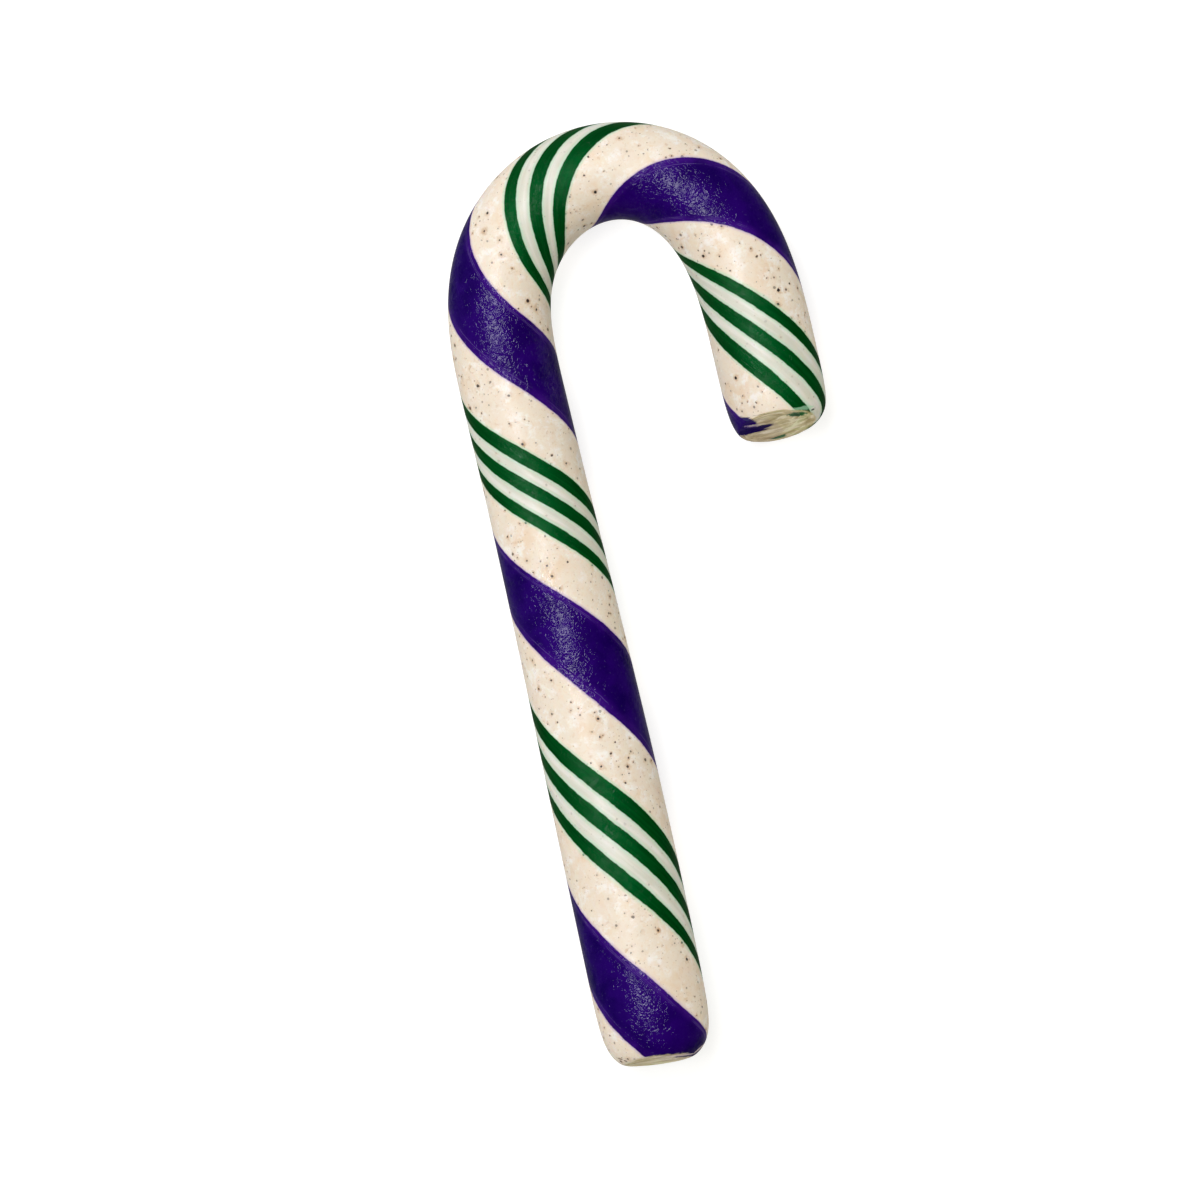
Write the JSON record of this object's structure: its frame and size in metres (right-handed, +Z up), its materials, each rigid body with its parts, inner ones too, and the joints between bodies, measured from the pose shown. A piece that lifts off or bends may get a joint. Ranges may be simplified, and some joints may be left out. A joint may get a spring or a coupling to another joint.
{
  "type": "candy cane",
  "caption": "Hard-boiled sugar candy cane, a thick rolled rope with a tight hook and shear-cut rounded ends, lying on its side.",
  "frame": {"origin": "middle of the cane's box in plan, on the surface that it lies on", "axes": "+Y along the stem from the foot towards the hook, +X from the stem towards the hook's tip, +Z up out of the side that shows"},
  "size_m": [0.0542, 0.1402, 0.0167],
  "materials": {
    "boiled_sugar": "gloss"
  },
  "bodies": {
    "root": {"candy_cane": "boiled_sugar"}
  },
  "joints": []
}
